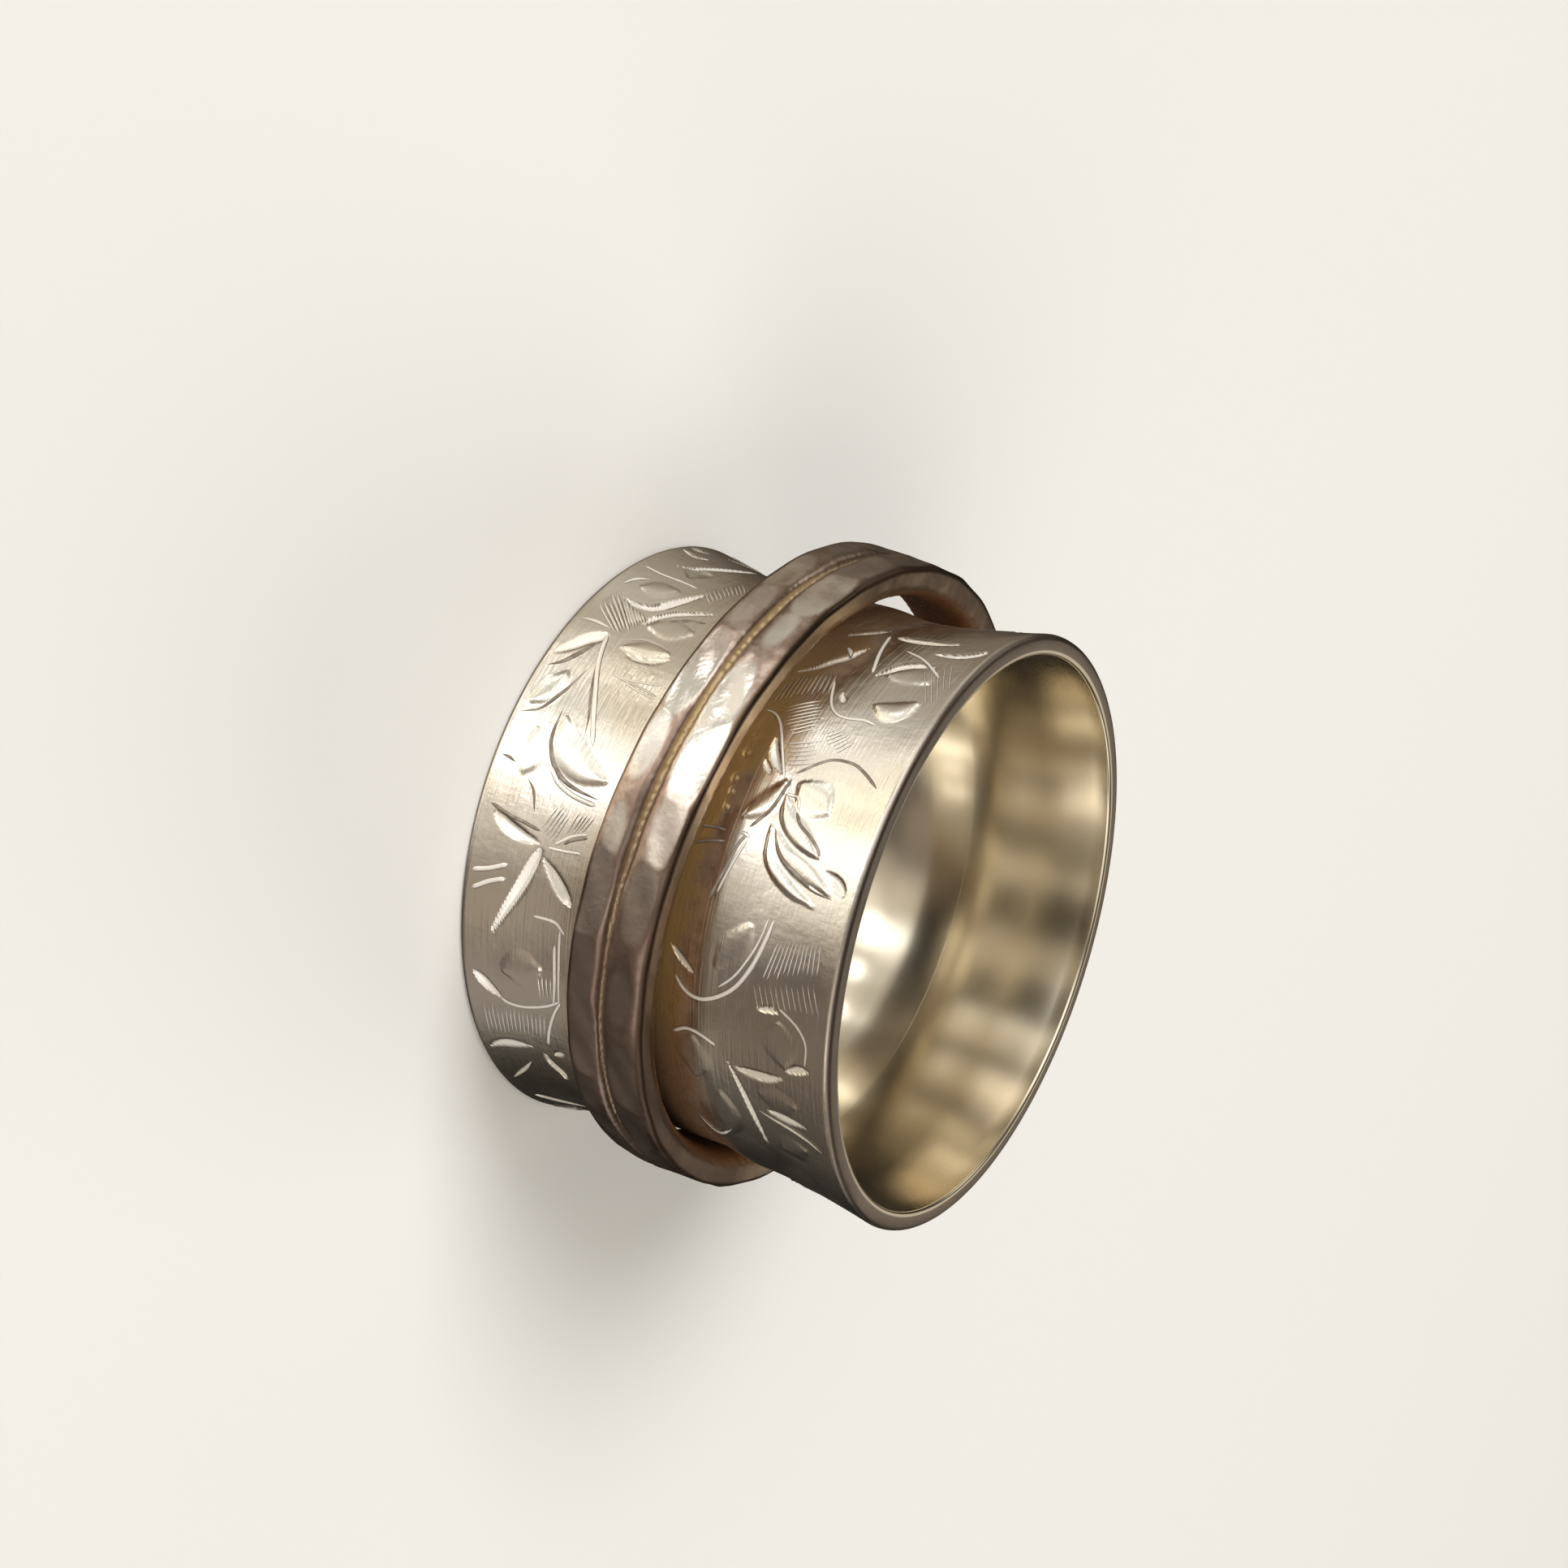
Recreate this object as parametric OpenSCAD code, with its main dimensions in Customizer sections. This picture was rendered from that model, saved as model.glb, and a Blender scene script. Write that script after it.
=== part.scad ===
// Spinner ring lying on its side: a flared sheet band and the loose hammered ring that turns on it.
// Millimetres. The ring's axis is Z, and the rim that it rests on is at Z = 0.

/* [Band] */
// Inside radius where the finger sits, at the middle of the band
finger_r = 8.65; // [7:0.05:11]
// Width of the band from rim to rim
band_w = 14.1; // [8:0.1:18]
// Thickness of the sheet beside the track
sheet_t = 0.7; // [0.5:0.05:1.2]
// How far the rims flare out
flare_rise = 0.6; // [0.2:0.02:1]
// Length of the flare, measured in from each rim
flare_run = 4.6; // [1.5:0.1:5]
// How late the flare bends out: a higher number bends it out nearer to the rim
flare_bend = 1.5; // [1:0.1:3]
// Depth of the track outside that the loose ring turns over
track_dip = 0.25; // [0.1:0.01:0.4]
// How far the middle of the band steps in on the inside
step_in = 0.35; // [0.1:0.01:0.5]
// Where the slope down into the track starts, measured in from each rim
track_start = 4.3; // [3:0.1:5]
// Where that slope ends
track_end = 5.1; // [4:0.1:6]
// Rounding of a rim's outer corner
rim_round = 0.2; // [0.1:0.02:0.4]
// Rounding of a rim's inner corner
rim_break = 0.12; // [0.05:0.01:0.25]

/* [Loose ring] */
// Inside radius of the loose ring, where its rounded inside is narrowest
ring_in_r = 10.1; // [10:0.01:10.2]
// How far that inside rounds away towards each side of the ring
bore_round = 0.65; // [0.2:0.05:0.9]
// Width of the narrowest part of the inside
bore_flat = 1.2; // [0.4:0.1:2]
// Width of the loose ring
ring_w = 3; // [2:0.05:4]
// Radius to the top of its two ribs
crest_r = 11.45; // [10.8:0.05:12]
// Radius to the bottom of the groove between the ribs
groove_r = 11.15; // [10.9:0.05:11.4]
// Width of the groove's floor
groove_w = 0.2; // [0.1:0.02:0.6]
// How far the groove lies below the middle of the loose ring
groove_off = 0.15; // [0:0.05:0.3]
// Hammered flats around each rib
flats = 28; // [16:1:40]
// How far the corners between the flats vary in radius
flat_vary = 0.05; // [0:0.01:0.1]
// Height of the loose ring's middle over the rim that the band rests on
ring_z = 6.85; // [6.8:0.05:7.3]
// How far the loose ring has slid sideways in its play
slide = 0.42; // [0:0.02:0.45]
// How far the loose ring leans over in its play, in degrees
lean = 5.3; // [0:0.1:5.5]

/* [Hidden] */
$fn = 96;
steps = 8;
silver = [0.78, 0.76, 0.70];
warm_silver = [0.66, 0.60, 0.52];

// Share of a smooth slope from 0 to 1
function ease(t) = t <= 0 ? 0 : t >= 1 ? 1 : t * t * (3 - 2 * t);
// Rise of the flare, and share of the slope into the track, at a distance e in from a rim
function flare(e) = e >= flare_run ? 0 : flare_rise * pow(1 - e / flare_run, flare_bend);
function slope(e) = ease((e - track_start) / (track_end - track_start));
// Radius of the inside and of the outside at a distance e in from a rim
function inner_r(e) = finger_r + step_in - step_in * slope(e) + flare(e);
function outer_r(e) = finger_r + step_in + sheet_t - track_dip * slope(e) + flare(e);
// Points of a rounded corner: centre, radius, first and last angle
function corner(r, z, rad, a0, a1, n = 4) =
    [for (i = [0:n]) let (a = a0 + (a1 - a0) * i / n) [r + rad * cos(a), z + rad * sin(a)]];
// Distances from a rim at which the wall's two radii are set out
flare_at = [for (i = [0:steps - 1]) rim_round + (track_start - rim_round) * i / steps];
slope_at = [for (i = [0:steps]) track_start + (track_end - track_start) * i / steps];
half_at = concat(flare_at, slope_at);
count = len(half_at);

// Outline of the sheet, up the outside and down the inside
function outside_up() = concat(
    [for (e = half_at) [outer_r(e), e]],
    [for (i = [count - 1:-1:0]) [outer_r(half_at[i]), band_w - half_at[i]]]);
function inside_down() = concat(
    [for (e = half_at) [inner_r(e), band_w - e]],
    [for (i = [count - 1:-1:0]) [inner_r(half_at[i]), half_at[i]]]);
rim_out = outer_r(rim_round);
rim_in = inner_r(rim_break);
function rim_low() = concat(
    corner(rim_in + rim_break, rim_break, rim_break, 180, 270, 3),
    corner(rim_out - rim_round, rim_round, rim_round, 270, 350, 4));
function rim_high() = concat(
    corner(rim_out - rim_round, band_w - rim_round, rim_round, 10, 90, 4),
    corner(rim_in + rim_break, band_w - rim_break, rim_break, 90, 180, 3));

module band() {
    color(silver)
    rotate_extrude()
    polygon(concat(rim_low(), outside_up(), rim_high(), inside_down()));
}

// Two ribs, each from the groove to its side of the ring
side = ring_w / 2;
lower_half = (side - groove_off - groove_w / 2) / 2;
upper_half = (side + groove_off - groove_w / 2) / 2;
crown_at = [-1, -0.985, -0.9, -0.72, -0.42, 0, 0.42, 0.72, 0.9, 0.985, 1];
// Points of a rib's crown, whose middle is at z and half width is half
function crown(z, half) = [for (s = crown_at)
    [groove_r + (crest_r - groove_r) * pow(1 - pow(abs(s), 3), 1 / 3), z + s * half]];
// Points of the inside's rounding at one side of the ring, from the side inwards
function bore_edge(way) = [for (a = [90:-18:0])
    [ring_in_r + bore_round * (1 - cos(a)), way * (bore_flat / 2 + (side - bore_flat / 2) * sin(a))]];
function bore_edge_out(way) = let (p = bore_edge(way)) [for (i = [len(p) - 1:-1:0]) p[i]];

module ring_outline() {
    polygon(concat(
        bore_edge_out(-1),
        crown(lower_half - side, lower_half),
        crown(side - upper_half, upper_half),
        bore_edge(1)));
}

// Solid with flat sides that leaves the hammered flats on one rib
module hammered(turn, z0, h) {
    translate([0, 0, z0])
    rotate([0, 0, turn])
    linear_extrude(h)
    polygon([for (i = [0:flats - 1])
        let (a = 360 * i / flats, r = crest_r - flat_vary * abs(sin(i * 77 + turn)))
        [r * cos(a), r * sin(a)]]);
}

module spinner() {
    color(warm_silver)
    translate([-slide, 0, ring_z])
    rotate([0, lean, 0])
    intersection() {
        rotate_extrude() ring_outline();
        union() {
            hammered(0, -ring_w, ring_w - groove_off);
            hammered(190 / flats, -groove_off, ring_w);
        }
    }
}

band();
spinner();
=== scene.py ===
# Spinner ring lying on its side: a flared band with an engraved floral pattern, and the loose hammered ring
# that turns on it. Everything is in metres in the part's frame: the ring's axis is +Z, and it rests at Z = 0.
import math

import bpy
import numpy as np
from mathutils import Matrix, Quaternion, Vector


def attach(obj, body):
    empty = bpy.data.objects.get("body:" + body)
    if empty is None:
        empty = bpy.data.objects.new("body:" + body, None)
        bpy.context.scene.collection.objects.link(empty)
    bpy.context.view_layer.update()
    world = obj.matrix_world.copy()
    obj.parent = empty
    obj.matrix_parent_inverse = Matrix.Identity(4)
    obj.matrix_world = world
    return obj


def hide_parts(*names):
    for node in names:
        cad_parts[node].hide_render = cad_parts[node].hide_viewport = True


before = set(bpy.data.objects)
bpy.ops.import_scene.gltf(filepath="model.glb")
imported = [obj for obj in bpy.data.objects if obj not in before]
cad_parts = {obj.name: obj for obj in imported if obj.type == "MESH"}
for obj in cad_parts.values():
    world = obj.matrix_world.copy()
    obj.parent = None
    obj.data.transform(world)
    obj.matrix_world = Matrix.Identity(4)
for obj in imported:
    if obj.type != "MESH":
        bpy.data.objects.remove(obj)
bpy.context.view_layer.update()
mm = 0.001
print("frame loaded")


# Helpers. A value is the output of a node, and ordinary signs reckon with it

class Value:
    def __init__(self, socket):
        self.socket = socket
        self.tree = socket.id_data

    def __add__(self, other):
        return calc("ADD", self, other)

    def __sub__(self, other):
        return calc("SUBTRACT", self, other)

    def __rsub__(self, other):
        return calc("SUBTRACT", other, self)

    def __mul__(self, other):
        return calc("MULTIPLY", self, other)

    def __truediv__(self, other):
        return calc("DIVIDE", self, other)

    def __pow__(self, other):
        return calc("POWER", self, other)

    def __abs__(self):
        return calc("ABSOLUTE", self)

    __radd__, __rmul__ = __add__, __mul__


def fill(node, inputs):  # links values to a node's inputs, or writes plain ones there
    for key, value in inputs.items():
        if isinstance(value, Value):
            value.tree.links.new(value.socket, node.inputs[key])
        else:
            node.inputs[key].default_value = value


def addNode(tree, kind, inputs, **settings):
    made = tree.nodes.new(kind)
    for name, value in settings.items():
        setattr(made, name, value)
    fill(made, inputs)
    return made


def output(tree, kind, inputs=None, which=0, **settings):
    return Value(addNode(tree, kind, inputs or {}, **settings).outputs[which])


def calc(operation, *terms, clamp=False):
    tree = next(term.tree for term in terms if isinstance(term, Value))
    return output(tree, "ShaderNodeMath", dict(enumerate(terms)), operation=operation, use_clamp=clamp)


def larger(a, b):
    return calc("MAXIMUM", a, b)


def smaller(a, b):
    return calc("MINIMUM", a, b)


def clamped(value):  # to between 0 and 1
    return calc("ADD", value, 0, clamp=True)


def parts(vector):  # its x, y and z
    return [Value(socket) for socket in addNode(vector.tree, "ShaderNodeSeparateXYZ", {0: vector}).outputs]


def dot(vector, other):
    return output(vector.tree, "ShaderNodeVectorMath", {0: vector, 1: other}, 1, operation="DOT_PRODUCT")


def ramp(value, low, high, toLow=0, toHigh=1):  # an eased step from low to high
    return output(value.tree, "ShaderNodeMapRange", {0: value, 1: low, 2: high, 3: toLow, 4: toHigh},
                  interpolation_type="SMOOTHSTEP")


def mixed(factor, first, second):
    return output(factor.tree, "ShaderNodeMix", {0: factor, 2: first, 3: second}, data_type="FLOAT")


def mixColour(factor, first, second, blend="MIX"):
    colours = {key: c if isinstance(c, Value) else (*c, 1) for key, c in ((6, first), (7, second))}
    return output(factor.tree, "ShaderNodeMix", {0: factor, **colours}, 2, data_type="RGBA", blend_type=blend)


def covered(colour, look, layers):  # layers: how much of it shows, and its colour or the name of that
    for factor, over in layers:
        colour = mixColour(factor, colour, look[over] if isinstance(over, str) else over)
    return colour


def noise(place, scale, detail, rough, stretch=(1, 1, 1), shift=(0, 0, 0)):
    moved = output(place.tree, "ShaderNodeMapping", {"Vector": place, "Scale": stretch, "Location": shift})
    return output(place.tree, "ShaderNodeTexNoise",
                  {"Vector": moved, "Scale": scale, "Detail": detail, "Roughness": rough})


def addObject(name, data):
    made = bpy.data.objects.new(name, data)
    bpy.context.scene.collection.objects.link(made)
    return made


def meshObject(name, points, edges, faces, **attributes):
    data = bpy.data.meshes.new(name)
    data.from_pydata(points, edges, faces)
    for key, values in attributes.items():
        values = np.asarray(values, np.float32).ravel()
        data.attributes.new(key, "FLOAT", "POINT").data.foreach_set("value", values)
    return addObject(name, data)


def newMaterial(name):
    material = bpy.data.materials.new(name)
    material.use_nodes = True
    return material, material.node_tree.nodes["Principled BSDF"]


def aimed(place, target):  # the turn that makes a camera or a light at a place look at a target
    return (Vector(target) - Vector(place)).to_track_quat("-Z", "Y")


# Camera

camera = {
    "place": (-3.029, -77.843, 46.415),  # mm
    "aim": (-3.03, -3.40, 7.0),
    "roll": 105.88,  # degrees: the photograph shows the ring upright, and here it lies on its side
    "lens": 57.8,
    "sensor": 36,
    "clip": (0.005, 5),  # metres
}


def makeCamera():
    data = bpy.data.cameras.new("camera")
    data.lens = camera["lens"]
    data.sensor_width = camera["sensor"]
    data.clip_start, data.clip_end = camera["clip"]
    made = addObject("camera", data)
    made.location = Vector(camera["place"]) * mm
    made.rotation_mode = "QUATERNION"
    roll = Quaternion((0, 0, 1), math.radians(camera["roll"]))
    made.rotation_quaternion = aimed(camera["place"], camera["aim"]) @ roll
    bpy.context.scene.camera = made


makeCamera()
print("camera placed")


# Floor, surroundings and lights

floorSizes = {"half": 1.6, "colour": (0.82, 0.81, 0.79), "rough": 0.9, "specular": 0.1}
studio = {  # place, size, power and colour
    "keyLight": ((-1.1, -0.8, 1.5), 1.1, 23, (1, 1, 1)),
    "fillLight": ((1.25, -1.0, 1.4), 1.5, 10.5, (1.0, 0.98, 0.95)),
    "backLight": ((0.25, 1.7, 1.3), 1.5, 11.5, (1, 1, 1)),
}
studioAim = (0, 0, 0.007)

# What the metal mirrors. Each soft light: azimuth, elevation, half angle and softness in degrees,
# then its strength and its colour
surroundings = {
    "base": (0.022, 0.019, 0.016),
    "plain": (0.86, 0.85, 0.83),
    "lights": [
        (-133, -14, 40, 34, 0.56, (1, 0.91, 0.76)),
        (-108, -9, 14, 8, 1.45, (1, 0.98, 0.93)),
        (-140, 0, 13, 8, 0.85, (1, 0.98, 0.94)),
        (-98, -46, 11, 8, 0.42, (1, 0.97, 0.92)),
        (-146, -42, 12, 8, 0.30, (1, 0.93, 0.82)),
        (-106, -32, 7, 3, 1.5, (1, 0.99, 0.96)),
        (-150, -31, 4, 2, 2, (1, 1, 1)),
        (-127, -32, 4, 2, 1.8, (1, 1, 1)),
        (-84, -12, 12, 8, 0.36, (1, 0.88, 0.72)),
        (-84, -42, 13, 8, 0.22, (1, 0.86, 0.68)),
        (-52, -4, 18, 12, 0.28, (1, 0.80, 0.60)),
        (-42, -42, 24, 16, 0.12, (1, 0.82, 0.66)),
        (-10, -8, 16, 12, 0.24, (1, 0.86, 0.68)),
        (6, -44, 22, 14, 0.07, (1, 0.88, 0.76)),
        (160, -8, 20, 14, 0.24, (1, 0.90, 0.70)),
        (140, -48, 24, 16, 0.16, (1, 0.74, 0.52)),
        (-120, -66, 20, 12, 1, (1, 0.90, 0.66)),
        (-30, 14, 10, 6, 0.8, (1, 0.95, 0.88)),
        (0, -88, 12, 6, 0.8, (1, 0.90, 0.74)),
        (-128, 36, 24, 14, 1, (1, 0.97, 0.92)),
        (-44, 30, 24, 12, 0.80, (1, 0.93, 0.84)),
        (10, 27, 13, 8, 1, (1, 0.94, 0.84)),
        (24, 13, 7, 3, 0.75, (1, 1, 1)),
        (82, 29, 18, 8, 0.48, (1, 0.90, 0.74)),
        (148, 29, 12, 7, 0.70, (1, 0.92, 0.78)),
        (0, 90, 72, 9, 0.085, (1, 0.86, 0.64)),
    ],
}


def makeFloor():
    half = floorSizes["half"]
    corners = [(-half, -half, 0), (half, -half, 0), (half, half, 0), (-half, half, 0)]
    made = meshObject("floor", corners, [], [(0, 1, 2, 3)])
    material, shader = newMaterial("paleFloor")
    fill(shader, {"Base Color": (*floorSizes["colour"], 1), "Roughness": floorSizes["rough"],
                  "Specular IOR Level": floorSizes["specular"]})
    made.data.materials.append(material)
    made.visible_glossy = False  # the metal mirrors the surroundings, which were dark all round the real ring
    made.visible_shadow = False


def makeSurroundings():
    world = bpy.data.worlds.new("surroundings")
    bpy.context.scene.world = world
    world.use_nodes = True
    tree = world.node_tree
    tree.nodes.clear()
    towards = output(tree, "ShaderNodeTexCoord", which="Generated")
    colour = surroundings["base"]
    for azimuth, elevation, angle, softness, strength, tint in surroundings["lights"]:
        side, height = math.radians(azimuth), math.radians(elevation)
        flatways = math.cos(height)
        near = dot(towards, (flatways * math.cos(side), flatways * math.sin(side), math.sin(height)))
        edge = math.cos(math.radians(angle + softness))
        core = math.cos(math.radians(max(angle - softness, 0)))
        colour = mixColour(ramp(near, edge, core), colour, [strength * c for c in tint], "ADD")
    seen = output(tree, "ShaderNodeLightPath", which="Is Camera Ray")
    colour = mixColour(seen, colour, surroundings["plain"])
    background = output(tree, "ShaderNodeBackground", {"Color": colour})
    addNode(tree, "ShaderNodeOutputWorld", {"Surface": background})


def makeLight(name, place, size, power, colour):
    data = bpy.data.lights.new(name, "AREA")
    data.shape = "DISK"
    data.size = size
    data.energy = power
    data.color = colour
    made = addObject(name, data)
    made.location = place
    made.rotation_mode = "QUATERNION"
    made.rotation_quaternion = aimed(place, studioAim)
    made.visible_glossy = False  # it lights the floor; the metal mirrors the surroundings alone


makeFloor()
makeSurroundings()
for lightName, settings in studio.items():
    makeLight(lightName, *settings)
bpy.context.scene.view_settings.view_transform = "Standard"
print("stage lit")


# The band's plain shape, in millimetres

band = {
    "fingerRadius": 8.65,
    "stepIn": 0.35,
    "width": 14.1,
    "sheet": 0.7,
    "flareRise": 0.6,
    "flareRun": 4.6,
    "flareBend": 1.5,
    "trackDip": 0.25,
    "trackEdge": 5.1,
    "outerStart": 4.7,  # both walls slope softly into the track
    "outerEnd": 6.5,
    "innerStart": 2.4,
    "innerEnd": 6.6,
    "nearStart": 4.3,  # but the outside is as steep as the solid where the loose ring comes close
    "nearEnd": 5.1,
    "rimRound": 0.2,
    "rimBreak": 0.12,
    "rimAngles": (186, 270, 348),  # degrees: from the inside over the flat of the rim to the outside
    "rimPoints": (5, 6),  # round its inner and its outer corner
    "humpTrack": 0.44,  # the hand-formed band stands fuller at the top of the photograph
    "humpRim": 0.17,
    "humpReach": 3.2,
    "humpFocus": 7.0,
    "flatRadius": 9.9,  # an angle becomes a length at this radius, for the pattern
    "columns": 970,
    "flangeRows": (76, 12),  # outside and inside
    "middleRows": (58, 12),
    "seam": 0.004,  # a row this close to where two parts meet keeps the shading straight
    "patternEdge": (0.2, 0.3),  # how far from the rims the pattern starts, and how fast it deepens
    "plainMiddle": (0.5, 0.3),  # and the same from the middle of the track, which stays plain
    "wave": 0.005,  # how far the hand-formed sheet wanders
    "waves": [(3, 0.5, 0.4, 1), (7, -0.9, 2.1, 0.7), (13, 1.3, 4.0, 0.5), (19, -2.1, 0, 0.4)],
    "insideWave": 0.06,  # the polished inside wanders less
    "finest": 0.007,  # half width of a stroke's ends
    "curveSteps": 24,  # between two given points of a stroke
    "fewest": 5,  # points of a stroke
}


def ease(t):
    t = np.clip(t, 0, 1)
    return t * t * (3 - 2 * t)


def share(value, start, run):  # 0 up to the start, and 1 after the run
    return np.clip((value - start) / run, 0, 1)


def fromRim(z):
    return np.minimum(z, band["width"] - z)


def slopeShare(z, start, end):  # 0 beside the track and 1 in it
    return ease((fromRim(z) - band[start]) / (band[end] - band[start]))


def commonRise(z, a):  # the flare of both walls, and the fuller rim
    flare = band["flareRise"] * np.clip(1 - fromRim(z) / band["flareRun"], 0, 1) ** band["flareBend"]
    return flare + humpShare(a) * band["humpRim"] * np.clip(1 - z / band["humpReach"], 0, 1)


def humpShare(a):
    return np.clip(-np.cos(a), 0, 1) ** band["humpFocus"]


def outerRadius(z, a):
    plain = band["fingerRadius"] + band["stepIn"] + band["sheet"]
    dip = band["trackDip"] - humpShare(a) * band["humpTrack"]
    soft, steep = slopeShare(z, "outerStart", "outerEnd"), slopeShare(z, "nearStart", "nearEnd")
    near = ease(np.cos(a)) * (z < band["width"] / 2)
    return plain - dip * (soft + (steep - soft) * near) + commonRise(z, a)


def innerRadius(z, a):
    step = band["stepIn"] * (1 - slopeShare(z, "innerStart", "innerEnd"))
    return band["fingerRadius"] + step + commonRise(z, a)


def wander(z, a):  # the hand-formed sheet isn't quite even
    total = sum(part * np.sin(times * a + rise * z + phase) for times, rise, phase, part in band["waves"])
    return band["wave"] * total * share(fromRim(z), 0, 1)  # none at the rims


# The engraved pattern. Places are (angle in degrees, height in mm) on the outside of the band.
# A stroke: points, half width in mm, shape, and for a fine one how dark it is, up to 1, as patina and painted
# shade
# A swell is a broad leaf or petal beaten up from the sheet: points, half width, rise in mm, skew

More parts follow.
